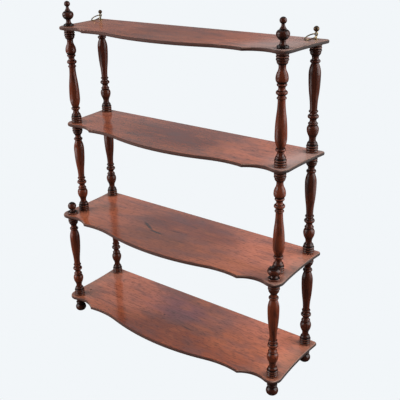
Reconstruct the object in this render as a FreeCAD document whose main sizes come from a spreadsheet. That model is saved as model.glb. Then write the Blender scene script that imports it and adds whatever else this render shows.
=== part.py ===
import FreeCAD, Part
import math
import os
from types import SimpleNamespace

import Sketcher

Vector = FreeCAD.Vector
UP = Vector(0, 0, 1)
ACROSS = Vector(1, 0, 0)

doc = FreeCAD.newDocument("WallShelf")

# Driving dimensions, millimetres and degrees
sizes = {
    # Post positions: half spacing across the shelf, and distances from the back edge forwards
    "postSpread": 330.0,
    "upperPostSetIn": 10.0,
    "rearPostInset": 21.0,
    "upperPostReach": 127.0,
    "lowerPostStep": 35.0,
    # Shelf board and its serpentine outline
    "shelfThickness": 8.5,
    "edgeRadius": 3.4,
    "edgeFlat": 0.8,
    "sideMargin": 25.0,
    "sideHollowRadius": 1000.0,
    "backCornerRadius": 8.0,
    "lobeRadius": 25.0,
    "coveRadius": 70.0,
    "cuspInset": 80.0,
    "cuspReach": 35.0,
    "valleyInset": 40.0,
    "valleyRadius": 230.0,
    "bowReach": 57.0,
    "oldPegHoleRadius": 2.8,
    # Dowels and the sockets they sit in
    "dowelRadius": 4.0,
    "dowelClearance": 0.05,
    "socketDepth": 16.0,
    "dowelEndGap": 0.5,
    # Spindle: stacked discs at both ends, vase and rings below, tapered column above
    "spindleLength": 251.5,
    "discRadius": 14.0,
    "discGrooveRadius": 12.3,
    "discHeight": 5.9,
    "lowerBellHeight": 8.3,
    "lowerBellRadius": 8.6,
    "lowerBellSwell": 1.3,
    "vaseNeckHeight": 15.0,
    "vaseNeckHollow": 1.5,
    "vaseFlankRadius": 10.6,
    "vaseFlankHeight": 14.5,
    "vaseRadius": 14.0,
    "vaseShoulderHeight": 10.0,
    "collarSeatRadius": 9.3,
    "collarHeight": 6.0,
    "collarRadius": 11.3,
    "middleNeckHeight": 9.0,
    "middleNeckHollow": 1.5,
    "bigRingHeight": 10.0,
    "bigRingRadius": 12.8,
    "ringSeatRadius": 9.0,
    "upperNeckHeight": 4.5,
    "upperNeckHollow": 0.6,
    "smallRingSeatRadius": 8.7,
    "smallRingHeight": 5.0,
    "smallRingRadius": 10.8,
    "columnFootRadius": 8.4,
    "columnFlankHeight": 34.0,
    "columnFlankHollow": 0.6,
    "columnFlankRadius": 10.9,
    "columnRadius": 13.9,
    "columnShoulderHeight": 25.5,
    "topRingSeatRadius": 8.2,
    "topRingHeight": 8.0,
    "topRingRadius": 11.7,
    "topNeckHeight": 9.5,
    "topNeckHollow": 1.0,
    "upperBellRadius": 9.5,
    "upperBellHeight": 7.8,
    "upperBellSwell": 1.2,
    # Finial: moulded base, neck, urn, collar, stem and ball
    "finialBaseRadius": 13.2,
    "finialBaseSeatRadius": 12.2,
    "finialBaseHeight": 5.2,
    "finialFlareRadius": 10.6,
    "finialFlareHeight": 9.6,
    "finialFlareHollow": 1.8,
    "finialNeckRadius": 6.2,
    "finialNeckHeight": 1.8,
    "finialUrnRadius": 14.6,
    "finialUrnHeight": 12.6,
    "finialShoulderHeight": 9.4,
    "finialCollarSeatRadius": 6.6,
    "finialCollarHeight": 2.4,
    "finialCollarRadius": 7.4,
    "finialStemRadius": 3.7,
    "finialStemHeight": 8.8,
    "finialStemHollow": 0.7,
    "finialBallRadius": 7.7,
    # Knobs: the same moulded base under a ball on the left and a mushroom cap on the right
    "knobBaseRadius": 14.2,
    "knobBaseSeatRadius": 13.0,
    "knobBaseHeight": 5.0,
    "knobNeckHeight": 6.0,
    "knobNeckHollow": 1.4,
    "knobBallNeckRadius": 5.8,
    "knobBallRadius": 11.6,
    "knobCapNeckRadius": 7.2,
    "knobCapRadius": 15.8,
    "knobCapHeight": 10.0,
    "knobShoulderRadius": 9.4,
    "knobShoulderHeight": 8.4,
    "knobCrownHeight": 1.6,
    "knobSocketDepth": 14.0,
    # Foot: flattened ball on the floor, ring and flared top under the shelf
    "footPadRadius": 8.5,
    "footBallRise": 10.0,
    "footBallRadius": 15.0,
    "footBallShoulderHeight": 10.6,
    "footNeckRadius": 9.4,
    "footNeckHeight": 2.8,
    "footNeckHollow": 0.4,
    "footRingSeatRadius": 10.6,
    "footRingHeight": 5.4,
    "footRingRadius": 12.6,
    "footFlareRadius": 14.0,
    "footFlareHeight": 15.2,
    "footFlareHollow": 1.2,
    # Hanging eyes and their rings
    "eyeCollarRadius": 5.2,
    "eyeCollarHeight": 1.6,
    "eyeShankRadius": 1.8,
    "eyeShankClearance": 0.05,
    "eyeShankTipGap": 2.0,
    "eyeHoleHeight": 12.5,
    "eyeLoopRadius": 3.4,
    "eyeWireRadius": 1.2,
    "eyeNeckRadius": 1.9,
    "leftBallRadius": 5.2,
    "rightBallRadius": 6.5,
    "leftNeckLength": 0.5,
    "rightNeckLength": 1.2,
    "ringRadius": 14.0,
    "ringWireRadius": 1.4,
    "ringRestGap": 0.15,
    "leftRingHeading": 16.0,
    "rightRingHeading": 32.0,
}

sheet = doc.addObject("Spreadsheet::Sheet", "Sizes")
for row, (alias, number) in enumerate(sizes.items(), start=1):
    sheet.set(f"A{row}", alias)
    sheet.set(f"B{row}", str(number))
    sheet.setAlias(f"B{row}", alias)
doc.recompute()


class Size:
    # A length that knows its value and the sheet formula that gives it
    def __init__(self, value, formula):
        self.value = value
        self.formula = formula

    def __add__(self, other):
        other = as_size(other)
        return Size(self.value + other.value, f"({self.formula} + {other.formula})")

    def __sub__(self, other):
        other = as_size(other)
        return Size(self.value - other.value, f"({self.formula} - {other.formula})")

    def __mul__(self, other):
        other = as_size(other)
        return Size(self.value * other.value, f"({self.formula} * {other.formula})")

    def __truediv__(self, other):
        other = as_size(other)
        return Size(self.value / other.value, f"({self.formula} / {other.formula})")

    def __neg__(self):
        return Size(-self.value, f"(0 - {self.formula})")

    def root(self):
        return Size(math.sqrt(self.value), f"sqrt({self.formula})")


def as_size(number):
    return number if isinstance(number, Size) else Size(float(number), str(number))


s = SimpleNamespace(**{alias: Size(value, f"Sizes.{alias}") for alias, value in sizes.items()})
ORIGIN = as_size(0)

# Discs in the stack at each end of a spindle
discCount = 3

# Heights of the stack, floor to top, and depths forward from the back edge
footBallTop = s.footBallRise + s.footBallShoulderHeight
footHeight = footBallTop + s.footNeckHeight + s.footRingHeight + s.footFlareHeight
tierPitch = s.spindleLength + s.shelfThickness
bottomShelf = footHeight
lowerShelf = bottomShelf + tierPitch
upperShelf = lowerShelf + tierPitch
topShelf = upperShelf + tierPitch
topOfShelves = topShelf + s.shelfThickness

upperSpread = s.postSpread - s.upperPostSetIn
upperFrontDepth = s.rearPostInset + s.upperPostReach
lowerFrontDepth = upperFrontDepth + s.lowerPostStep
overallDepth = lowerFrontDepth + s.bowReach
backEdge = overallDepth / 2
rearY = backEdge - s.rearPostInset
upperFrontY = backEdge - upperFrontDepth
lowerFrontY = backEdge - lowerFrontDepth
socketRadius = s.dowelRadius + s.dowelClearance

# Dowel lengths: how far one enters a turning, and how long it is through or into a board
grip = s.socketDepth - s.dowelEndGap
knobGrip = s.knobSocketDepth - s.dowelEndGap
throughLength = grip * 2 + s.shelfThickness
flushLength = grip + s.shelfThickness


def place(piece, x, y, z, rotation=FreeCAD.Rotation()):
    # Stands a piece at a point of the whole shelf, with its position tied to the sheet
    x, y, z = as_size(x), as_size(y), as_size(z)
    piece.Placement = FreeCAD.Placement(Vector(x.value, y.value, z.value), rotation)
    for axis, length in (("x", x), ("y", y), ("z", z)):
        piece.setExpression(f"Placement.Base.{axis}", length.formula)


def bind(sketch, constraint, length):
    index = sketch.addConstraint(constraint)
    sketch.setExpression(f"Constraints[{index}]", length.formula)


def new_sketch(body, role):
    plane = next(p for p in body.Origin.OriginFeatures if p.Role == role)
    sketch = body.newObject("Sketcher::SketchObject", body.Name + "Sketch")
    sketch.AttachmentSupport = [(plane, "")]
    sketch.MapMode = "FlatFace"
    return sketch


# Turned profiles: points run up the outside, and each says how the run to the next point is shaped
def straight(start, end):
    return None


def swelling(rise):
    # An outward arc that stands this far off its chord
    return lambda start, end: (1, chord_radius(start, end, rise))


def hollow(rise):
    # An inward arc that stands this far off its chord
    return lambda start, end: (-1, chord_radius(start, end, rise))


def easing(start, end):
    # An outward arc that runs along the axis at its wider end
    wide, narrow = (start, end) if start[0].value > end[0].value else (end, start)
    drop = wide[0] - narrow[0]
    height = end[1] - start[1]
    return 1, (height * height + drop * drop) / (drop * 2)


def round_of(radius):
    # Part of a ball of this radius
    return lambda start, end: (1, radius)


def crown(start, end):
    # A shallow dome that runs square to the axis at its top
    height = end[1] - start[1]
    return 1, (start[0] * start[0] + height * height) / (height * 2)


def chord_radius(start, end, rise):
    across = end[0] - start[0]
    along = end[1] - start[1]
    chord = across * across + along * along
    return (chord + rise * rise * 4) / (rise * 8)


def arc_between(start, end, side, radius):
    # The shorter arc between two points, with its centre left of the run when it swells outwards
    first = Vector(start[0].value, start[1].value, 0)
    last = Vector(end[0].value, end[1].value, 0)
    run = last - first
    outwards = Vector(run.y, -run.x, 0).normalize()
    offset = math.sqrt(max(radius.value**2 - run.Length**2 / 4, 0))
    centre = (first + last) / 2 - outwards * (side * offset)
    if side < 0:
        first, last = last, first
    turn = [math.atan2(p.y - centre.y, p.x - centre.x) for p in (first, last)]
    if turn[1] < turn[0]:
        turn[1] += 2 * math.pi
    return Part.ArcOfCircle(Part.Circle(centre, UP, radius.value), *turn)


def turned_body(label, profile):
    # Revolves a closed half profile round the piece's own axis
    body = doc.addObject("PartDesign::Body", label)
    body.Label = label
    sketch = new_sketch(body, "XZ_Plane")
    runs = []
    for i, (radius, height, shape) in enumerate(profile):
        start = (as_size(radius), as_size(height))
        end = tuple(map(as_size, profile[(i + 1) % len(profile)][:2]))
        runs.append((start, end, shape(start, end)))

    first_point = []
    for start, end, bend in runs:
        if bend is None:
            line = Part.LineSegment(
                Vector(start[0].value, start[1].value, 0), Vector(end[0].value, end[1].value, 0)
            )
            sketch.addGeometry(line)
            first_point.append(1)
        else:
            side, radius = bend
            sketch.addGeometry(arc_between(start, end, side, radius))
            first_point.append(1 if side > 0 else 2)

    for i, (start, end, bend) in enumerate(runs):
        before = i - 1 if i else len(runs) - 1
        last_point = 3 - first_point[before]
        sketch.addConstraint(Sketcher.Constraint("Coincident", before, last_point, i, first_point[i]))
        radius, height = start
        if radius is ORIGIN:
            sketch.addConstraint(Sketcher.Constraint("PointOnObject", i, first_point[i], -2))
        else:
            bind(sketch, Sketcher.Constraint("DistanceX", -1, 1, i, first_point[i], radius.value), radius)
        if height is ORIGIN:
            sketch.addConstraint(Sketcher.Constraint("PointOnObject", i, first_point[i], -1))
        else:
            bind(sketch, Sketcher.Constraint("DistanceY", -1, 1, i, first_point[i], height.value), height)
        if bend is not None:
            bind(sketch, Sketcher.Constraint("Radius", i, bend[1].value), bend[1])

    turning = body.newObject("PartDesign::Revolution", body.Name + "Turning")
    turning.Profile = sketch
    turning.ReferenceAxis = (sketch, ["V_Axis"])
    turning.Angle = 360
    body.Tip = turning
    return body


def copy_of(original, label):
    # A second piece of the same turning, with a place of its own
    body = doc.addObject("PartDesign::Body", label)
    body.Label = label
    base = body.newObject("PartDesign::FeatureBase", body.Name + "Base")
    base.BaseFeature = original
    body.Tip = base
    return body


def disc_stack(bottom):
    # Rounded discs with pinched grooves between them, from this height upwards
    shape = swelling(s.discRadius - s.discGrooveRadius)
    heights = [bottom] + [bottom + s.discHeight * i for i in range(1, discCount)]
    return [(s.discGrooveRadius, height, shape) for height in heights]


def spindle_profile():
    # Built upwards from the vase end; the column takes what the other turnings leave
    discs = s.discHeight * discCount
    neckFoot = discs + s.lowerBellHeight
    flankFoot = neckFoot + s.vaseNeckHeight
    vaseWidest = flankFoot + s.vaseFlankHeight
    collarFoot = vaseWidest + s.vaseShoulderHeight
    middleNeckFoot = collarFoot + s.collarHeight
    bigRingFoot = middleNeckFoot + s.middleNeckHeight
    upperNeckFoot = bigRingFoot + s.bigRingHeight
    smallRingFoot = upperNeckFoot + s.upperNeckHeight
    columnFoot = smallRingFoot + s.smallRingHeight
    columnFlank = columnFoot + s.columnFlankHeight
    topDiscs = s.spindleLength - discs
    upperBellFoot = topDiscs - s.upperBellHeight
    topNeckFoot = upperBellFoot - s.topNeckHeight
    topRingFoot = topNeckFoot - s.topRingHeight
    columnWidest = topRingFoot - s.columnShoulderHeight
    socketTop = s.spindleLength - s.socketDepth
    return (
        [(socketRadius, ORIGIN, straight)]
        + disc_stack(ORIGIN)
        + [
            (s.discGrooveRadius, discs, swelling(s.lowerBellSwell)),
            (s.lowerBellRadius, neckFoot, hollow(s.vaseNeckHollow)),
            (s.vaseFlankRadius, flankFoot, easing),
            (s.vaseRadius, vaseWidest, easing),
            (s.collarSeatRadius, collarFoot, swelling(s.collarRadius - s.collarSeatRadius)),
            (s.collarSeatRadius, middleNeckFoot, hollow(s.middleNeckHollow)),
            (s.ringSeatRadius, bigRingFoot, swelling(s.bigRingRadius - s.ringSeatRadius)),
            (s.ringSeatRadius, upperNeckFoot, hollow(s.upperNeckHollow)),
            (s.smallRingSeatRadius, smallRingFoot, swelling(s.smallRingRadius - s.smallRingSeatRadius)),
            (s.smallRingSeatRadius, columnFoot, straight),
            (s.columnFootRadius, columnFoot, hollow(s.columnFlankHollow)),
            (s.columnFlankRadius, columnFlank, easing),
            (s.columnRadius, columnWidest, easing),
            (s.topRingSeatRadius, topRingFoot, swelling(s.topRingRadius - s.topRingSeatRadius)),
            (s.topRingSeatRadius, topNeckFoot, hollow(s.topNeckHollow)),
            (s.upperBellRadius, upperBellFoot, swelling(s.upperBellSwell)),
        ]
        + disc_stack(topDiscs)
        + [
            (s.discGrooveRadius, s.spindleLength, straight),
            (socketRadius, s.spindleLength, straight),
            (socketRadius, socketTop, straight),
            (ORIGIN, socketTop, straight),
            (ORIGIN, s.socketDepth, straight),
            (socketRadius, s.socketDepth, straight),
        ]
    )


def finial_profile():
    flareFoot = s.finialBaseHeight
    neckFoot = flareFoot + s.finialFlareHeight
    urnFoot = neckFoot + s.finialNeckHeight
    urnWidest = urnFoot + s.finialUrnHeight
    collarFoot = urnWidest + s.finialShoulderHeight
    stemFoot = collarFoot + s.finialCollarHeight
    ballFoot = stemFoot + s.finialStemHeight
    ballRadius = s.finialBallRadius
    ballCentre = ballFoot + (ballRadius * ballRadius - s.finialStemRadius * s.finialStemRadius).root()
    return [
        (socketRadius, ORIGIN, straight),
        (s.finialBaseSeatRadius, ORIGIN, swelling(s.finialBaseRadius - s.finialBaseSeatRadius)),
        (s.finialBaseSeatRadius, flareFoot, straight),
        (s.finialFlareRadius, flareFoot, hollow(s.finialFlareHollow)),
        (s.finialNeckRadius, neckFoot, straight),
        (s.finialNeckRadius, urnFoot, easing),
        (s.finialUrnRadius, urnWidest, easing),
        (s.finialCollarSeatRadius, collarFoot, swelling(s.finialCollarRadius - s.finialCollarSeatRadius)),
        (s.finialCollarSeatRadius, stemFoot, hollow(s.finialStemHollow)),
        (s.finialStemRadius, ballFoot, round_of(ballRadius)),
        (ORIGIN, ballCentre + ballRadius, straight),
        (ORIGIN, s.socketDepth, straight),
        (socketRadius, s.socketDepth, straight),
    ]


def knob_profile(head):
    # Moulded base and hollow neck, with a socket inside; the head goes on above
    return [
        (socketRadius, ORIGIN, straight),
        (s.knobBaseSeatRadius, ORIGIN, swelling(s.knobBaseRadius - s.knobBaseSeatRadius)),
        (s.knobBaseSeatRadius, s.knobBaseHeight, hollow(s.knobNeckHollow)),
        *head,
        (ORIGIN, s.knobSocketDepth, straight),
        (socketRadius, s.knobSocketDepth, straight),
    ]


def ball_head():
    foot = s.knobBaseHeight + s.knobNeckHeight
    radius, neck = s.knobBallRadius, s.knobBallNeckRadius
    centre = foot + (radius * radius - neck * neck).root()
    return [
        (neck, foot, round_of(radius)),
        (ORIGIN, centre + radius, straight),
    ]


def mushroom_head():
    foot = s.knobBaseHeight + s.knobNeckHeight
    widest = foot + s.knobCapHeight
    shoulder = widest + s.knobShoulderHeight
    return [
        (s.knobCapNeckRadius, foot, easing),
        (s.knobCapRadius, widest, easing),
        (s.knobShoulderRadius, shoulder, crown),
        (ORIGIN, shoulder + s.knobCrownHeight, straight),
    ]


def foot_profile():
    ringFoot = footBallTop + s.footNeckHeight
    flareFoot = ringFoot + s.footRingHeight
    socketTop = footHeight - s.socketDepth
    return [
        (ORIGIN, ORIGIN, straight),
        (s.footPadRadius, ORIGIN, easing),
        (s.footBallRadius, s.footBallRise, easing),
        (s.footNeckRadius, footBallTop, hollow(s.footNeckHollow)),
        (s.footRingSeatRadius, ringFoot, swelling(s.footRingRadius - s.footRingSeatRadius)),
        (s.footRingSeatRadius, flareFoot, hollow(s.footFlareHollow)),
        (s.footFlareRadius, footHeight, straight),
        (socketRadius, footHeight, straight),
        (socketRadius, socketTop, straight),
        (ORIGIN, socketTop, straight),
    ]


# Shelf boards: half the outline with its holes, mirrored, then rounded along both edges
def pin(sketch, piece, point, across, depth):
    bind(sketch, Sketcher.Constraint("DistanceX", -1, 1, piece, point, across.value), across)
    bind(sketch, Sketcher.Constraint("DistanceY", piece, point, -1, 1, depth.value), depth)


def outline_geometry(postSpread, frontDepth, cuspSpread, cuspDepth):
    # Where the solver starts: every tangent point worked out from the driving dimensions
    corner = Vector(
        s.postSpread.value + s.sideMargin.value - s.backCornerRadius.value,
        -s.backCornerRadius.value,
    )
    lobe = Vector(postSpread.value, -frontDepth.value)
    cusp = Vector(cuspSpread.value, -cuspDepth.value)
    cornerRadius, lobeRadius = s.backCornerRadius.value, s.lobeRadius.value
    coveRadius, valleyRadius = s.coveRadius.value, s.valleyRadius.value
    sideRadius = s.sideHollowRadius.value
    bowDepth = frontDepth.value + s.bowReach.value

    def touching(first, firstReach, second, secondReach):
        # The point this far from both, on the right of the run from the first to the second
        run = second - first
        along = (firstReach**2 - secondReach**2 + run.Length**2) / (2 * run.Length)
        aside = math.sqrt(firstReach**2 - along**2)
        unit = run / run.Length
        return first + unit * along + Vector(unit.y, -unit.x) * aside

    sideCentre = touching(lobe, sideRadius + lobeRadius, corner, sideRadius + cornerRadius)
    sideBack = corner + (sideCentre - corner).normalize() * cornerRadius
    sideFront = lobe + (sideCentre - lobe).normalize() * lobeRadius
    cove = touching(cusp, coveRadius, lobe, coveRadius + lobeRadius)
    lobeEnd = lobe + (cove - lobe).normalize() * lobeRadius

    valley = Vector(
        cuspSpread.value - s.valleyInset.value,
        cusp.y - math.sqrt(valleyRadius**2 - s.valleyInset.value**2),
    )
    dip = bowDepth + valley.y + valleyRadius
    bowRadius = (valley.x**2 + dip**2) / (2 * dip) - valleyRadius
    bow = Vector(0, bowRadius - bowDepth)
    turnOver = bow + (valley - bow).normalize() * bowRadius

    def arc(centre, radius, start, end):
        turn = [math.atan2(p.y - centre.y, p.x - centre.x) % (2 * math.pi) for p in (start, end)]
        if turn[1] < turn[0]:
            turn[1] += 2 * math.pi
        return Part.ArcOfCircle(Part.Circle(centre, UP, radius), *turn)

    backMiddle, frontMiddle = Vector(0, 0), Vector(0, -bowDepth)
    backEnd = corner + Vector(0, cornerRadius)
    return [
        Part.LineSegment(backMiddle, backEnd),
        arc(corner, cornerRadius, sideBack, backEnd),
        arc(sideCentre, sideRadius, sideBack, sideFront),
        arc(lobe, lobeRadius, lobeEnd, sideFront),
        arc(cove, coveRadius, lobeEnd, cusp),
        arc(valley, valleyRadius, cusp, turnOver),
        arc(bow, bowRadius, frontMiddle, turnOver),
        Part.LineSegment(frontMiddle, backMiddle),
    ]


def shelf(label, height, postSpread, frontDepth, holes):
    body = doc.addObject("PartDesign::Body", label)
    body.Label = label
    sketch = new_sketch(body, "XY_Plane")
    cuspSpread = postSpread - s.cuspInset
    cuspDepth = frontDepth + s.cuspReach
    back, corner, side, lobe, cove, valley, bow, middle = range(8)
    sketch.addGeometry(outline_geometry(postSpread, frontDepth, cuspSpread, cuspDepth))
    sketch.addConstraint(
        [
            Sketcher.Constraint("Coincident", back, 1, -1, 1),
            Sketcher.Constraint("Coincident", middle, 2, -1, 1),
            Sketcher.Constraint("Horizontal", back),
            Sketcher.Constraint("Vertical", middle),
            Sketcher.Constraint("Tangent", back, 2, corner, 2),
            Sketcher.Constraint("Tangent", corner, 1, side, 1),
            Sketcher.Constraint("Tangent", side, 2, lobe, 2),
            Sketcher.Constraint("Tangent", lobe, 1, cove, 1),
            Sketcher.Constraint("Coincident", cove, 2, valley, 1),
            Sketcher.Constraint("Tangent", valley, 2, bow, 2),
            Sketcher.Constraint("Coincident", bow, 1, middle, 1),
            Sketcher.Constraint("PointOnObject", bow, 3, -2),
        ]
    )
    cornerSpread = s.postSpread + s.sideMargin - s.backCornerRadius
    bind(sketch, Sketcher.Constraint("DistanceX", -1, 1, corner, 3, cornerSpread.value), cornerSpread)
    for piece, radius in (
        (corner, s.backCornerRadius),
        (side, s.sideHollowRadius),
        (lobe, s.lobeRadius),
        (cove, s.coveRadius),
        (valley, s.valleyRadius),
    ):
        bind(sketch, Sketcher.Constraint("Radius", piece, radius.value), radius)
    pin(sketch, lobe, 3, postSpread, frontDepth)
    pin(sketch, cove, 2, cuspSpread, cuspDepth)
    valleySpread = cuspSpread - s.valleyInset
    bind(sketch, Sketcher.Constraint("DistanceX", -1, 1, valley, 3, valleySpread.value), valleySpread)
    bowDepth = frontDepth + s.bowReach
    bind(sketch, Sketcher.Constraint("DistanceY", middle, 1, -1, 1, bowDepth.value), bowDepth)
    for spread, depth, radius in holes:
        circle = Part.Circle(Vector(spread.value, -depth.value), UP, radius.value)
        hole = sketch.addGeometry(circle)
        pin(sketch, hole, 3, spread, depth)
        bind(sketch, Sketcher.Constraint("Radius", hole, radius.value), radius)

    board = body.newObject("PartDesign::Pad", body.Name + "Board")
    board.Profile = sketch
    board.setExpression("Length", s.shelfThickness.formula)
    mirror = body.newObject("PartDesign::Mirrored", body.Name + "Mirror")
    mirror.Originals = [board]
    mirror.MirrorPlane = (next(p for p in body.Origin.OriginFeatures if p.Role == "YZ_Plane"), [""])
    body.Tip = mirror
    doc.recompute()

    level = 0.01  # an edge lies flat when it rises less than this
    outlineEdges = [
        f"Edge{number}"
        for number, edge in enumerate(mirror.Shape.Edges, start=1)
        if edge.BoundBox.ZLength < level and not edge.isClosed()
    ]
    rounding = body.newObject("PartDesign::Fillet", body.Name + "Rounding")
    rounding.Base = (mirror, outlineEdges)
    widest = (s.shelfThickness - s.edgeFlat) / 2
    rounding.setExpression("Radius", f"min({s.edgeRadius.formula}; {widest.formula})")
    body.Tip = rounding
    place(body, ORIGIN, backEdge, height)
    return body


# Loose round pieces
def cylinder(name, radius, height, x, y, z):
    rod = doc.addObject("Part::Cylinder", name)
    rod.setExpression("Radius", radius.formula)
    rod.setExpression("Height", height.formula)
    place(rod, x, y, z)
    return rod


def group(label, members):
    bundle = doc.addObject("Part::Compound", label)
    bundle.Label = label
    bundle.Links = members
    return bundle


def dowel_group(label, foot, length, spots):
    return group(
        label,
        [
            cylinder(f"{label}_{i}", s.dowelRadius, length, x, y, foot)
            for i, (x, y) in enumerate(spots, start=1)
        ],
    )


def bored_dowel_group(label, foot, length, spots):
    # Dowels with a pilot bore for a screw shank
    bored = []
    for i, (x, y) in enumerate(spots, start=1):
        cut = doc.addObject("Part::Cut", f"{label}_{i}")
        cut.Base = cylinder(f"{label}_rod_{i}", s.dowelRadius, length, x, y, foot)
        cut.Tool = cylinder(f"{label}_bore_{i}", s.eyeShankRadius + s.eyeShankClearance, length, x, y, foot)
        bored.append(cut)
    return group(label, bored)


def hanger_eye(label, x, ballRadius, neckLength, heading):
    # Screw shank, collar, upright loop and a ball on a short neck, turned to face its ring
    loop = doc.addObject("Part::Torus", label + "_loop")
    loop.setExpression("Radius1", s.eyeLoopRadius.formula)
    loop.setExpression("Radius2", s.eyeWireRadius.formula)
    place(loop, ORIGIN, ORIGIN, s.eyeHoleHeight, FreeCAD.Rotation(Vector(0, 1, 0), 90))
    loopTop = s.eyeHoleHeight + s.eyeLoopRadius
    loopFoot = s.eyeHoleHeight - s.eyeLoopRadius
    ballHeight = loopTop + neckLength + ballRadius
    depth = flushLength - s.eyeShankTipGap
    shank = cylinder(label + "_shank", s.eyeShankRadius, depth + loopFoot, ORIGIN, ORIGIN, -depth)
    collar = cylinder(label + "_collar", s.eyeCollarRadius, s.eyeCollarHeight, ORIGIN, ORIGIN, ORIGIN)
    neck = cylinder(label + "_neck", s.eyeNeckRadius, ballHeight - loopTop, ORIGIN, ORIGIN, loopTop)
    ball = doc.addObject("Part::Sphere", label + "_ball")
    ball.setExpression("Radius", ballRadius.formula)
    place(ball, ORIGIN, ORIGIN, ballHeight)
    eye = doc.addObject("Part::MultiFuse", label)
    eye.Label = label
    eye.Shapes = [loop, shank, collar, neck, ball]
    place(eye, x, rearY, topOfShelves, FreeCAD.Rotation(UP, -heading.value))
    return eye


def hanger_ring(label, x, heading):
    # Hangs through the eye and leans forward until its far side rests on the shelf
    ring = doc.addObject("Part::Torus", label)
    ring.Label = label
    ring.setExpression("Radius1", s.ringRadius.formula)
    ring.setExpression("Radius2", s.ringWireRadius.formula)
    drop = s.eyeHoleHeight - s.ringWireRadius - s.ringRestGap
    tilt = math.asin(drop.value / (2 * s.ringRadius.value))
    turn = FreeCAD.Rotation(UP, -heading.value)
    lean = turn.multVec(Vector(0, -math.cos(tilt), -math.sin(tilt)))
    centre = Vector(x.value, rearY.value, (topOfShelves + s.eyeHoleHeight).value)
    centre += lean * s.ringRadius.value
    ring.Placement = FreeCAD.Placement(
        centre, turn.multiply(FreeCAD.Rotation(ACROSS, math.degrees(tilt)))
    )
    return ring


nodes = []

# Shelves with the holes for their dowels; the bottom board keeps two old peg holes
rearHole = (s.postSpread, s.rearPostInset, socketRadius)
upperHole = (upperSpread, upperFrontDepth, socketRadius)
lowerHole = (s.postSpread, lowerFrontDepth, socketRadius)
oldPegHole = (upperSpread, upperFrontDepth, s.oldPegHoleRadius)
for label, height, spread, depth, holes in (
    ("shelf_bottom", bottomShelf, s.postSpread, lowerFrontDepth, [rearHole, lowerHole, oldPegHole]),
    ("shelf_lower", lowerShelf, s.postSpread, lowerFrontDepth, [rearHole, lowerHole, upperHole]),
    ("shelf_upper", upperShelf, upperSpread, upperFrontDepth, [rearHole, upperHole]),
    ("shelf_top", topShelf, upperSpread, upperFrontDepth, [rearHole, upperHole]),
):
    nodes.append(shelf(label, height, spread, depth, holes))

# Spindles, tier by tier; three of them stand upside down
upsideDown = {"spindle_top_front_left", "spindle_top_front_right", "spindle_middle_front_right"}
upperPosts = {"front": (upperSpread, upperFrontY), "rear": (s.postSpread, rearY)}
lowerPosts = {"front": (s.postSpread, lowerFrontY), "rear": (s.postSpread, rearY)}
tiers = (
    ("bottom", bottomShelf, lowerPosts),
    ("middle", lowerShelf, upperPosts),
    ("top", upperShelf, upperPosts),
)
spindle = None
for tier, board, posts in tiers:
    for row, (spread, y) in posts.items():
        for side, x in (("left", -spread), ("right", spread)):
            label = f"spindle_{tier}_{row}_{side}"
            piece = copy_of(spindle, label) if spindle else turned_body(label, spindle_profile())
            spindle = spindle or piece
            seat = board + s.shelfThickness
            if label in upsideDown:
                place(piece, x, y, seat + s.spindleLength, FreeCAD.Rotation(ACROSS, 180))
            else:
                place(piece, x, y, seat)
            nodes.append(piece)

# Finials on the top board, knobs on the lower board and feet under the bottom one
finial = turned_body("finial_left", finial_profile())
otherFinial = copy_of(finial, "finial_right")
place(finial, -upperSpread, upperFrontY, topOfShelves)
place(otherFinial, upperSpread, upperFrontY, topOfShelves)
ballKnob = turned_body("knob_left", knob_profile(ball_head()))
mushroomKnob = turned_body("knob_right", knob_profile(mushroom_head()))
place(ballKnob, -s.postSpread, lowerFrontY, lowerShelf + s.shelfThickness)
place(mushroomKnob, s.postSpread, lowerFrontY, lowerShelf + s.shelfThickness)
nodes += [finial, otherFinial, ballKnob, mushroomKnob]

foot = None
for row, (spread, y) in lowerPosts.items():
    for side, x in (("left", -spread), ("right", spread)):
        label = f"foot_{row}_{side}"
        piece = copy_of(foot, label) if foot else turned_body(label, foot_profile())
        foot = foot or piece
        place(piece, x, y, ORIGIN)
        nodes.append(piece)

# Dowels: through both sockets, or flush with the far face of the board where nothing follows
rearSpots = [(-s.postSpread, rearY), (s.postSpread, rearY)]
upperSpots = [(-upperSpread, upperFrontY), (upperSpread, upperFrontY)]
lowerSpots = [(-s.postSpread, lowerFrontY), (s.postSpread, lowerFrontY)]
nodes += [
    dowel_group("dowels_bottom", bottomShelf - grip, throughLength, rearSpots + lowerSpots),
    dowel_group("dowels_lower_rear", lowerShelf - grip, throughLength, rearSpots),
    dowel_group("dowels_lower_flush", lowerShelf, flushLength, upperSpots),
    dowel_group("dowels_lower_knob", lowerShelf - grip, flushLength + knobGrip, lowerSpots),
    dowel_group("dowels_upper", upperShelf - grip, throughLength, rearSpots + upperSpots),
    dowel_group("dowels_top_front", topShelf - grip, throughLength, upperSpots),
    bored_dowel_group("dowels_top_rear", topShelf - grip, flushLength, rearSpots),
]

# Hanging hardware over the rear posts
for side, x, ballRadius, neckLength, heading in (
    ("left", -s.postSpread, s.leftBallRadius, s.leftNeckLength, s.leftRingHeading),
    ("right", s.postSpread, s.rightBallRadius, s.rightNeckLength, s.rightRingHeading),
):
    nodes.append(hanger_eye(f"hanger_eye_{side}", x, ballRadius, neckLength, heading))
    nodes.append(hanger_ring(f"hanger_ring_{side}", x, heading))

doc.recompute()

for piece in doc.Objects:
    if {"Invalid", "Error"} & set(piece.State):
        raise RuntimeError(f"{piece.Name} failed: {piece.State}")
for node in nodes:
    if node.Shape.isNull() or not node.Shape.isValid() or not node.Shape.Solids:
        raise RuntimeError(f"{node.Label} has no sound solid")

os.makedirs("parts", exist_ok=True)
for node in nodes:
    node.Shape.exportStep(f"parts/{node.Label}.step")
print(f"{len(nodes)} pieces, {footHeight.value:.2f} mm feet, {topOfShelves.value:.1f} mm to the top board")
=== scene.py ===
from math import radians, tau

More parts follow.
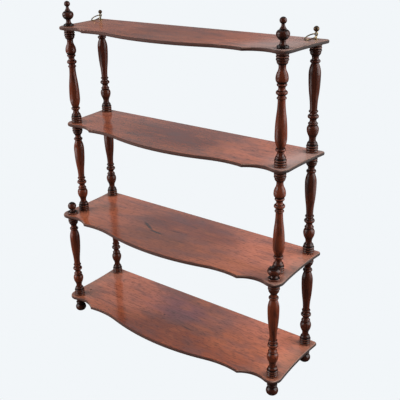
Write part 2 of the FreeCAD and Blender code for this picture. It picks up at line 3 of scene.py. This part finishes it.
import bmesh
import bpy
from mathutils import Matrix, Vector


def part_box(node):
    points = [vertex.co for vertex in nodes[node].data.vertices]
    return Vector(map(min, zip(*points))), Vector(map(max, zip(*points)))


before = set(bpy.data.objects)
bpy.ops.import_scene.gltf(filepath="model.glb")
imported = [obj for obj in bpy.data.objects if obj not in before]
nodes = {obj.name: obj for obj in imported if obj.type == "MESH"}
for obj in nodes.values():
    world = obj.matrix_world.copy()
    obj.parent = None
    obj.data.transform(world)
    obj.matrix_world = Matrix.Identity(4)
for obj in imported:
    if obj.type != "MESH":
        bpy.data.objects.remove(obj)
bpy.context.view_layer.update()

scene = bpy.context.scene
farAway = 1.0  # metres, more than any point of the shelf is from a post


def linear(hexColour):
    # sRGB hex to the linear values a shader works in
    parts = [int(hexColour[i:i + 2], 16) / 255 for i in (1, 3, 5)]
    return [p / 12.92 if p <= 0.04045 else ((p + 0.055) / 1.055) ** 2.4 for p in parts] + [1]


def metres(*millimetres):
    return [size / 1000 for size in millimetres]


def perMetre(*millimetres):
    # how many cells of this size fit in a metre, along X, Y and Z
    return [1000 / size for size in millimetres]


def add(tree, kind, output, inputs, **settings):
    # one shader node with its settings; an input is a value or another node's socket
    made = tree.nodes.new("ShaderNode" + kind)
    for name, value in settings.items():
        setattr(made, name, value)
    for socket, value in inputs.items():
        if isinstance(value, bpy.types.NodeSocket):
            tree.links.new(value, made.inputs[socket])
        else:
            made.inputs[socket].default_value = value
    return made.outputs[output] if output else made


def newMaterial(name):
    material = bpy.data.materials.new(name)
    material.use_nodes = True
    material.node_tree.nodes.clear()
    return material, material.node_tree


def noiseFields(tree, place, cells):
    # the noises that a material is made of, each stretched to cells of a real size
    fields = {}
    for name, (*size, detail) in cells.items():
        stretched = {"Vector": place, "Scale": perMetre(*size)}
        stretched = add(tree, "Mapping", "Vector", stretched)
        noise = {"Vector": stretched, "Scale": 1.0, "Detail": detail}
        fields[name] = add(tree, "TexNoise", "Fac", noise)
    return fields


def over(tree, colour, tint, value, low, high, most):
    # a tint laid over a colour: none of it where value is at low, the most of it from high on
    limits = {"Value": value, "From Min": low, "From Max": high, "To Max": most}
    share = add(tree, "MapRange", "Result", limits, interpolation_type="SMOOTHSTEP")
    layers = {"Factor": share, "A": colour, "B": linear(tint)}
    return add(tree, "Mix", "Result", layers, data_type="RGBA")


def finishSurface(tree, inputs):
    shader = add(tree, "BsdfPrincipled", "BSDF", inputs)
    add(tree, "OutputMaterial", None, {"Surface": shader})


def dress(prefixes, material):
    for name, piece in nodes.items():
        if name.startswith(prefixes):
            for slot in piece.material_slots:
                slot.material = material


def standsOn(name):
    # the middle of a turned piece's foot, on the board below it
    low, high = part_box(name)
    return ((low.x + high.x) / 2, (low.y + high.y) / 2, low.z)


# Shelf boards
shelfLook = {
    "heartwood": "#7C412F",
    "darkPatch": "#5F342B",
    "litAndFaded": "#AE634A",
    "warmPatch": "#A0552E",
    "mauve": "#50383A",
    "warmFront": "#8A4625",
    "deepRed": "#6C2812",
    "plum": "#6A3A46",
    "grainLine": "#3A1E18",
    "sheenAndBloom": "#736F7C",
    "dry": "#866A5A",
    "sheenAndDust": "#B0A8A6",
    "grimeAndShade": "#2A1916",
    "edgeLine": "#200F0B",
    "edgeBand": "#402015",
    "endFace": "#140B09",
    "cornerHighlight": "#866659",
    "rim": "#5A453B",
    # noise cells along X, Y and Z in mm, and how many finer layers each has
    "cells": {
        "figure": (290, 75, 110, 3),
        "patch": (200, 110, 70, 2),
        "mottle": (80, 32, 40, 3),
        "grain": (160, 6, 40, 4),
        "fleck": (55, 4.5, 30, 2),
        "pore": (14, 2.5, 12, 1),  # real pores are 0.25 mm wide, drawn coarser so that they show
    },
    # where each layer starts and where it is full
    "litAndFadedMm": (38, 270),
    "warmMm": (0, -90),
    "dryMm": (250, 350),
    "sheenAndBloomMm": (-60, 60),
    "sheenAndDustMm": (490, 660),
    "rimMm": (315, 352),
    "grimeMm": (24, 12),
    "contactShadeMost": 0.45,
    "strayMm": 200,  # how far the patches move those limits
    "inward": -0.35,
    "sunnier": 0.15,
    "sheenAndDustRise": 0.35,
    "sheenAndDustLean": 0.3,
    "polish": 0.11,
    "dullPolish": 0.2,
    "dullPatch": (0.3, 0.7),
    "edgePolish": 0.75,
    "edgeTurn": (0.985, 0.9),
    "bump": 0.2,
    "bumpMm": 0.2,
    "ior": 1.5,
    "gloss": 0.32,  # worn: a new polish has 0.5
}

boardTop = {name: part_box("shelf_" + name)[1].z for name in ("top", "upper", "lower", "bottom")}

# tones and marks on single boards: middle x and y, length and width in mm, turn in degrees,
# how strong, and which colour
boardTones = {
    # the faded patches towards the ends are partly sun fade, partly painted light
    "litAndFadedTop": ("top", 205, 15, 240, 190, 0, 0.6, "litAndFaded"),
    "litAndFadedRight": ("upper", 225, 40, 240, 170, 0, 0.6, "litAndFaded"),
    "redMiddle": ("upper", 0, 20, 340, 190, 0, 0.8, "deepRed"),
    "redBack": ("lower", 0, 50, 330, 120, 0, 0.5, "deepRed"),
    # the plum patch at the back is partly a painted reflection
    "plumBack": ("bottom", -52, 36, 290, 130, 0, 0.5, "plum"),
    "litAndFadedLeft": ("bottom", -200, 15, 300, 220, 0, 0.5, "litAndFaded"),
    "warmRight": ("bottom", 170, -35, 340, 190, 0, 0.6, "warmFront"),
    "redFront": ("bottom", 50, -80, 620, 130, 0, 0.5, "deepRed"),
}
boardMarks = {
    "hookStem": ("lower", -94, -8, 72, 11, -30, 0.9, "grimeAndShade"),
    "hookTail": ("lower", -52, -26, 58, 9, -4, 0.95, "grimeAndShade"),
    "faintStreak": ("lower", -12, 5, 44, 8, 8, 0.55, "grimeAndShade"),
    "inkSpot": ("bottom", -52, -7, 9, 7, 0, 0.8, "grimeAndShade"),
    "pegStain": ("bottom", 320, -28, 30, 26, 0, 0.4, "grimeAndShade"),
    "bottomStreak": ("bottom", 40, -24, 46, 8, -8, 0.6, "grimeAndShade"),
}
markRim = {
    "outer": 1.5,  # in half lengths, with the noise added
    "inner": 0.8,
    "ragged": 0.8,
    "deepMm": 20,  # past the board's thickness, and short of the next board
}


def spotted(tree, colour, place, noise, spots):
    # ellipses on single boards, with rims that a noise makes ragged
    for board, x, y, length, width, turn, most, tint in spots.values():
        spot = {
            "Vector": place,
            "Location": (*metres(x, y), boardTop[board]),
            "Rotation": (0, 0, radians(turn)),
            "Scale": metres(length / 2, width / 2, markRim["deepMm"]),
        }
        inside = add(tree, "Mapping", "Vector", spot, vector_type="TEXTURE")
        away = add(tree, "VectorMath", "Value", {0: inside}, operation="LENGTH")
        ragged = {0: noise, 1: markRim["ragged"], 2: away}
        ragged = add(tree, "Math", "Value", ragged, operation="MULTIPLY_ADD")
        rim = markRim["outer"], markRim["inner"]
        colour = over(tree, colour, shelfLook[tint], ragged, *rim, most)
    return colour


def shelfWood():
    # Mahogany board, planed along X and French polished by rubbing shellac with a pad:
    # straight grain under a soft mirror sheen, dirt and a painted contact shadow round the posts
    material, tree = newMaterial("french_polished_mahogany")
    place = add(tree, "TexCoord", "Object", {})
    fields = noiseFields(tree, place, shelfLook["cells"])

    # ways across a board: out to either end, the same with the sunnier right end first, in to
    # the middle of the back, and out to where pale grey lies, dust with a painted reflection,
    # which is most at the right end and on the higher, seldom wiped boards; the patches stray
    # them, so that no limit is straight
    split = add(tree, "SeparateXYZ", None, {0: place})
    side = add(tree, "Math", "Value", {0: split.outputs["X"]}, operation="ABSOLUTE")
    ways = {"out": side, "right": split.outputs["X"], "wallward": split.outputs["Y"]}
    ways["up"] = split.outputs["Z"]
    for name, first, share, second in (
        ("inward", "out", "inward", "wallward"),
        ("sunward", "right", "sunnier", "out"),
        ("sheenAndDustUp", "up", "sheenAndDustRise", "out"),
        ("sheenAndDustWay", "right", "sheenAndDustLean", "sheenAndDustUp"),
    ):
        sums = {0: ways[first], 1: shelfLook[share], 2: ways[second]}
        ways[name] = add(tree, "Math", "Value", sums, operation="MULTIPLY_ADD")
    stray, = metres(shelfLook["strayMm"])
    for name in ("out", "sunward", "inward", "wallward", "sheenAndDustWay"):
        strayed = {0: fields["patch"], 1: stray, 2: ways[name]}
        fields[name] = add(tree, "Math", "Value", strayed, operation="MULTIPLY_ADD")
    reach = {}
    for name in ("litAndFaded", "warm", "dry", "sheenAndBloom", "sheenAndDust"):
        # the patches average a half
        reach[name] = [stray / 2 + limit for limit in metres(*shelfLook[name + "Mm"])]
    fields["height"] = split.outputs["Z"]
    fields["side"] = side

    # broad figure; the ends, the right one most, and the top board paler, partly sun fade and
    # partly painted light; the bottom board darker, painted shade; and each board's own tones
    colour = linear(shelfLook["darkPatch"])
    for field, low, high, most, tint in (
        ("figure", 0.32, 0.58, 1.0, "heartwood"),
        ("height", boardTop["lower"], boardTop["bottom"], 0.5, "darkPatch"),
        ("sunward", *reach["litAndFaded"], 0.95, "litAndFaded"),
        ("height", boardTop["upper"], boardTop["top"], 0.4, "litAndFaded"),
        ("wallward", *reach["warm"], 0.45, "warmFront"),
        ("patch", 0.50, 0.72, 0.35, "warmPatch"),
    ):
        colour = over(tree, colour, shelfLook[tint], fields[field], low, high, most)
    colour = spotted(tree, colour, place, fields["patch"], boardTones)

    # warm and mauve mottling, grain, flecks and pores, then dry ends, a grey haze near the wall
    # that is damp bloom and partly a painted reflection, pale grey dust with a painted
    # reflection, and a greyish band on the rim at both ends
    for field, low, high, most, tint in (
        ("mottle", 0.50, 0.72, 0.4, "warmPatch"),
        ("mottle", 0.52, 0.32, 0.4, "mauve"),
        ("grain", 0.52, 0.78, 0.34, "grainLine"),
        ("fleck", 0.48, 0.75, 0.4, "grainLine"),
        ("pore", 0.52, 0.72, 0.6, "grainLine"),
        ("out", *reach["dry"], 0.26, "dry"),
        ("inward", *reach["sheenAndBloom"], 0.06, "sheenAndBloom"),
        ("sheenAndDustWay", *reach["sheenAndDust"], 0.4, "sheenAndDust"),
        ("side", *metres(*shelfLook["rimMm"]), 0.4, "rim"),
    ):
        colour = over(tree, colour, shelfLook[tint], fields[field], low, high, most)

    # dark marks that this one shelf has picked up
    colour = spotted(tree, colour, place, fields["pore"], boardMarks)

    # dirt and a painted contact shadow round whatever stands on a board, worked out for the
    # right half and folded over
    folded = {"X": side, "Y": split.outputs["Y"], "Z": split.outputs["Z"]}
    folded = add(tree, "CombineXYZ", "Vector", folded)
    nearest = farAway
    for name in nodes:
        if name.startswith(("spindle_", "finial_", "knob_")) and name.endswith("_right"):
            ends = {0: folded, 1: standsOn(name)}
            away = add(tree, "VectorMath", "Value", ends, operation="DISTANCE")
            nearest = add(tree, "Math", "Value", {0: nearest, 1: away}, operation="MINIMUM")
    ring = metres(*shelfLook["grimeMm"])
    colour = over(tree, colour, shelfLook["grimeAndShade"], nearest, *ring, shelfLook["contactShadeMost"])

    # edges: a brown band between two dark lines; the end faces near black, painted shade, and a
    # pale painted highlight along their upper corner
    facing = add(tree, "SeparateXYZ", None, {0: add(tree, "NewGeometry", "Normal", {})})
    upright = add(tree, "Math", "Value", {0: facing.outputs["Z"]}, operation="ABSOLUTE")
    endward = add(tree, "Math", "Value", {0: facing.outputs["X"]}, operation="ABSOLUTE")
    corner = {0: endward, 1: facing.outputs["Z"]}
    corner = add(tree, "Math", "Value", corner, operation="MULTIPLY")
    for value, low, high, most, tint in (
        (upright, 0.985, 0.92, 0.85, "edgeLine"),
        (upright, 0.70, 0.35, 0.9, "edgeBand"),
        (corner, 0.08, 0.24, 0.7, "cornerHighlight"),
        (endward, 0.48, 0.78, 0.9, "endFace"),
    ):
        colour = over(tree, colour, shelfLook[tint], value, low, high, most)

    # the polish is duller on some patches, and worn off the edges
    low, high = shelfLook["dullPatch"]
    limits = {"Value": fields["patch"], "From Min": low, "From Max": high}
    limits |= {"To Min": shelfLook["polish"], "To Max": shelfLook["dullPolish"]}
    sheen = add(tree, "MapRange", "Result", limits)
    low, high = shelfLook["edgeTurn"]
    limits = {"Value": upright, "From Min": low, "From Max": high}
    limits |= {"To Min": sheen, "To Max": shelfLook["edgePolish"]}
    sheen = add(tree, "MapRange", "Result", limits)
    depth = {0: fields["grain"], 1: fields["pore"]}
    depth = add(tree, "Math", "Value", depth, operation="ADD")
    distance, = metres(shelfLook["bumpMm"])
    bump = {"Height": depth, "Strength": shelfLook["bump"], "Distance": distance}
    finishSurface(tree, {
        "Base Color": colour,
        "Roughness": sheen,
        "Normal": add(tree, "Bump", "Normal", bump),
        "Specular IOR Level": shelfLook["gloss"],
        "IOR": shelfLook["ior"],
    })
    return material


dress("shelf_", shelfWood())
print("boards polished")

# Spindles, finials, knobs and feet
turnedLook = {
    "rubbed": "#5F2C1B",
    "stain": "#1E0E0A",
    "grooveAndShade": "#0E0807",
    "discRim": "#6A4032",
    # noise cells along X, Y and Z in mm, and how many finer layers each has
    "cells": {
        "grain": (4, 4, 110, 4),
        "fleck": (9, 9, 30, 2),
    },
    # where each layer starts and where it is full
    "darkEndMm": (48, 22),
    "footDarkMm": (50, 30),
    "finialMm": (0, 20),
    "wallShadeMm": (0, 80),
    "discZoneMm": (23, 19),
    # a radius, give or take a little
    "seamMm": (12.6, 0.6),
    "discRimMm": (14.0, 0.35),
    "polish": 0.18,
    "dullPolish": 0.34,
    "dullFleck": (0.35, 0.65),
    "bump": 0.15,
    "bumpMm": 0.2,
    "ior": 1.5,
    "gloss": 0.16,  # worn: a third of a new polish's 0.5
}


def turnedWood():
    # Mahogany turned between centres, stained dark and polished in the lathe: the stain
    # is rubbed back to red on the swells and stays near black in the grooves; painted shade
    # darkens the undersides
    material, tree = newMaterial("stained_turned_mahogany")
    place = add(tree, "TexCoord", "Object", {})
    fields = noiseFields(tree, place, turnedLook["cells"])
    facing = add(tree, "SeparateXYZ", "Z", {0: add(tree, "NewGeometry", "Normal", {})})

    # height from the nearest board, which repeats every tier
    pitch = boardTop["top"] - boardTop["upper"]
    split = add(tree, "SeparateXYZ", None, {0: place})
    height = {0: split.outputs["Z"], 1: boardTop["bottom"]}
    height = add(tree, "Math", "Value", height, operation="SUBTRACT")
    height = add(tree, "Math", "Value", {0: height, 1: pitch / 2}, operation="PINGPONG")

    # distance from the middle of the post, worked out for the right half and folded over
    side = add(tree, "Math", "Value", {0: split.outputs["X"]}, operation="ABSOLUTE")
    flat = add(tree, "CombineXYZ", "Vector", {"X": side, "Y": split.outputs["Y"]})
    posts = [name for name in nodes if name.startswith("spindle_") and name.endswith("_right")]
    radius = farAway
    for x, y in sorted({standsOn(name)[:2] for name in posts}):
        away = add(tree, "VectorMath", "Value", {0: flat, 1: (x, y, 0)}, operation="DISTANCE")
        radius = add(tree, "Math", "Value", {0: radius, 1: away}, operation="MINIMUM")

    # the seams between the stacked discs, black with stain and painted shade, and the discs'
    # rims, lighter with wear and a painted highlight
    low, high = metres(*turnedLook["discZoneMm"])
    zone = add(tree, "MapRange", "Result", {"Value": height, "From Min": low, "From Max": high})
    band = {}
    for name in ("seam", "discRim"):
        size, play = metres(*turnedLook[name + "Mm"])
        ring = add(tree, "Math", "Value", {0: radius, 1: size, 2: play}, operation="COMPARE")
        band[name] = add(tree, "Math", "Value", {0: ring, 1: zone}, operation="MULTIPLY")

    # the finials are seldom handled, so they keep more of their stain; the posts along the wall
    # and the whole top tier are darker too, painted shade
    darkEnd = metres(*turnedLook["darkEndMm"])
    wallShade = metres(*turnedLook["wallShadeMm"])
    feet = metres(*turnedLook["footDarkMm"])
    finial = [boardTop["top"] + size for size in metres(*turnedLook["finialMm"])]
    colour = linear(turnedLook["rubbed"])
    for value, low, high, most, tint in (
        (fields["fleck"], 0.45, 0.75, 0.6, "stain"),
        (fields["grain"], 0.48, 0.72, 0.7, "stain"),
        # darker near the boards and towards the floor
        (height, *darkEnd, 0.6, "stain"),
        (split.outputs["Y"], *wallShade, 0.58, "stain"),
        (split.outputs["Z"], *feet, 0.7, "stain"),
        (split.outputs["Z"], *finial, 0.5, "stain"),
        (split.outputs["Z"], boardTop["upper"], boardTop["top"], 0.3, "stain"),
        # undersides near black, painted shade; upward flats dark with stain held in the grooves
        (facing, -0.2, -0.6, 0.95, "grooveAndShade"),
        (facing, 0.5, 0.85, 0.92, "grooveAndShade"),
        # black seams, stain and painted shade; lighter disc rims, wear and a painted highlight
        (band["seam"], 0, 1, 0.95, "grooveAndShade"),
        (band["discRim"], 0, 1, 0.4, "discRim"),
    ):
        colour = over(tree, colour, turnedLook[tint], value, low, high, most)

    low, high = turnedLook["dullFleck"]
    limits = {"Value": fields["fleck"], "From Min": low, "From Max": high}
    limits |= {"To Min": turnedLook["polish"], "To Max": turnedLook["dullPolish"]}
    sheen = add(tree, "MapRange", "Result", limits)
    distance, = metres(turnedLook["bumpMm"])
    bump = {"Height": fields["grain"], "Strength": turnedLook["bump"], "Distance": distance}
    finishSurface(tree, {
        "Base Color": colour,
        "Roughness": sheen,
        "Normal": add(tree, "Bump", "Normal", bump),
        "Specular IOR Level": turnedLook["gloss"],
        "IOR": turnedLook["ior"],
    })
    return material


dress(("spindle_", "finial_", "knob_", "foot_"), turnedWood())
print("turnings stained")

# Dowels, hidden in the boards and turnings once the shelf is put together
dowelLook = {
    "pale": "#B48E62",
    "ringLine": "#7E5A38",
    "ringMm": 1.1,
    "waver": 1.5,
    "detail": 2.0,
    "sawn": 0.55,
    "soft": 0.7,
    "bump": 0.2,
    "bumpMm": 0.1,
    "ior": 1.5,
}
waveBands = 20 / tau  # the wave node draws this many in each unit


def dowelWood():
    # Beech rod, cleft and left bare: on the sawn ends its year rings show as fine arcs
    material, tree = newMaterial("bare_beech")
    place = add(tree, "TexCoord", "Object", {})
    scale, = perMetre(dowelLook["ringMm"])
    rings = {"Vector": place, "Scale": scale / waveBands}
    rings |= {"Distortion": dowelLook["waver"], "Detail": dowelLook["detail"]}
    arcs = add(tree, "TexWave", "Fac", rings, bands_direction="Y")
    layers = {"Factor": arcs, "A": linear(dowelLook["pale"]), "B": linear(dowelLook["ringLine"])}
    limits = {"Value": arcs, "To Min": dowelLook["soft"], "To Max": dowelLook["sawn"]}
    distance, = metres(dowelLook["bumpMm"])
    bump = {"Height": arcs, "Strength": dowelLook["bump"], "Distance": distance}
    finishSurface(tree, {
        "Base Color": add(tree, "Mix", "Result", layers, data_type="RGBA"),
        "Roughness": add(tree, "MapRange", "Result", limits),
        "Normal": add(tree, "Bump", "Normal", bump),
        "IOR": dowelLook["ior"],
    })
    return material


dress("dowels_", dowelWood())
print("dowels done")

# Hanging eyes and rings
brassLook = {
    "metal": "#84734F",
    "tarnish": "#483B2B",
    "ball": "#3A2C25",
    # noise cells along X, Y and Z in mm, and how many finer layers each has
    "cells": {
        "patch": (6, 6, 6, 4),
        "cast": (0.7, 0.7, 0.7, 2),  # real pits are finer, drawn coarser so that they show
    },
    "tarnished": (0.35, 0.62),
    "ballMm": (17, 21),  # above the top board
    "bright": 0.28,
    "dull": 0.5,
    "bump": 0.2,
    "bumpMm": 0.1,
}


def agedBrass():
    # Cast and drawn brass that was lacquered once: rubbed bright where it is handled, brown
    # tarnish in between, and the balls that nobody touches gone to dark bronze
    material, tree = newMaterial("aged_brass")
    place = add(tree, "TexCoord", "Object", {})
    fields = noiseFields(tree, place, brassLook["cells"])
    height = add(tree, "SeparateXYZ", "Z", {0: place})
    low, high = brassLook["tarnished"]
    ball = [boardTop["top"] + size for size in metres(*brassLook["ballMm"])]
    colour = linear(brassLook["metal"])
    colour = over(tree, colour, brassLook["tarnish"], fields["patch"], low, high, 1.0)
    colour = over(tree, colour, brassLook["ball"], height, *ball, 0.85)
    limits = {"Value": fields["patch"], "From Min": low, "From Max": high}
    limits |= {"To Min": brassLook["bright"], "To Max": brassLook["dull"]}
    distance, = metres(brassLook["bumpMm"])
    bump = {"Height": fields["cast"], "Strength": brassLook["bump"], "Distance": distance}
    finishSurface(tree, {
        "Base Color": colour,
        "Roughness": add(tree, "MapRange", "Result", limits),
        "Normal": add(tree, "Bump", "Normal", bump),
        "Metallic": 1.0,
    })
    return material


dress("hanger_", agedBrass())
print("brass done")

# Studio: pale floor, soft boxes, and a dim room with a pale backdrop that the polish mirrors
studio = {
    "pale": "#F2F6F9",
    "seen": 1.0,
    "floorSize": 40.0,
    "floorBounce": 0.11,
    "room": 0.12,
    "backdrop": 0.92,
    "backdropWay": (-0.50, 0.52, 0.69),
    "backdropEdge": 0.78,  # cosine of the angle between the backdrop's middle and its rim
}


def paleFloor():
    mesh = bpy.data.meshes.new("floor")
    sheet = bmesh.new()
    bmesh.ops.create_grid(sheet, x_segments=1, y_segments=1, size=studio["floorSize"] / 2)
    sheet.to_mesh(mesh)
    sheet.free()
    floor = bpy.data.objects.new("floor", mesh)
    scene.collection.objects.link(floor)
    # evenly lit paper: the same tone all over to the eye, and less light thrown back up
    material, tree = newMaterial("pale_paper")
    ray = add(tree, "LightPath", "Is Camera Ray", {})
    limits = {"Value": ray, "To Min": studio["floorBounce"], "To Max": studio["seen"]}
    strength = add(tree, "MapRange", "Result", limits)
    glow = {"Color": linear(studio["pale"]), "Strength": strength}
    glow = add(tree, "Emission", "Emission", glow)
    add(tree, "OutputMaterial", None, {"Surface": glow})
    mesh.materials.append(material)


def dimRoom():
    world = bpy.data.worlds.new("studio")
    scene.world = world
    world.use_nodes = True
    tree = world.node_tree
    tree.nodes.clear()
    pale = linear(studio["pale"])
    way = add(tree, "TexCoord", "Generated", {})
    middle = Vector(studio["backdropWay"]).normalized()
    towards = add(tree, "VectorMath", "Value", {0: way, 1: middle}, operation="DOT_PRODUCT")
    limits = {"Value": towards, "From Min": studio["backdropEdge"], "From Max": 1.0}
    limits |= {"To Min": studio["room"], "To Max": studio["backdrop"]}
    strength = add(tree, "MapRange", "Result", limits, interpolation_type="SMOOTHSTEP")
    room = add(tree, "Background", "Background", {"Color": pale, "Strength": strength})
    seen = add(tree, "Background", "Background", {"Color": pale, "Strength": studio["seen"]})
    ray = add(tree, "LightPath", "Is Camera Ray", {})
    mix = add(tree, "MixShader", "Shader", {0: ray, 1: room, 2: seen})
    add(tree, "OutputWorld", None, {"Surface": mix})


# place, what it faces, width and height in metres, watts
softBoxes = {
    "rightBox": ((1.9, 0.75, 1.3), (0.15, 0, 0.35), (2.2, 2.2), 106),
    "leftBox": ((-1.75, -1.65, 1.45), (-0.15, 0, 0.35), (2.2, 1.5), 86),
    "rightStrip": ((1.05, 0.5, 0.15), (0.15, 0, 0.3), (1.2, 0.35), 3),
    "leftStrip": ((-0.95, -0.95, 0.15), (-0.15, 0, 0.3), (1.2, 0.35), 8),
    "overhead": ((0.0, -0.2, 2.3), (0, 0, 0.4), (1.8, 1.4), 6.5),
}


def softBox(name, place, target, size, power):
    data = bpy.data.lights.new(name, "AREA")
    data.shape = "RECTANGLE"
    data.size, data.size_y = size
    data.energy = power
    lamp = bpy.data.objects.new(name, data)
    lamp.location = place
    lamp.rotation_euler = (Vector(target) - Vector(place)).to_track_quat("-Z", "Y").to_euler()
    lamp.visible_camera = False
    scene.collection.objects.link(lamp)


paleFloor()
dimRoom()
for name, values in softBoxes.items():
    softBox(name, *values)

# the photograph's viewing angle: metres, degrees, and millimetres of lens and sensor
cameraSet = {
    "location": (1.0222, -1.2414, 1.0822),
    "azimuth": 37.25,
    "down": 19.43,
    "roll": -1.22,
    "lens": 60.86,
    "sensor": 36.0,
    "shiftY": -0.1,
}


def photoCamera():
    data = bpy.data.cameras.new("camera")
    data.sensor_width = cameraSet["sensor"]
    data.lens = cameraSet["lens"]
    data.shift_y = cameraSet["shiftY"]
    camera = bpy.data.objects.new("camera", data)
    turn = Matrix.Rotation(radians(cameraSet["azimuth"]), 4, "Z")
    tip = Matrix.Rotation(radians(90 - cameraSet["down"]), 4, "X")
    roll = Matrix.Rotation(radians(cameraSet["roll"]), 4, "Z")
    camera.matrix_world = Matrix.Translation(cameraSet["location"]) @ turn @ tip @ roll
    scene.collection.objects.link(camera)
    scene.camera = camera


photoCamera()
scene.view_settings.view_transform = "Standard"
print("studio ready")
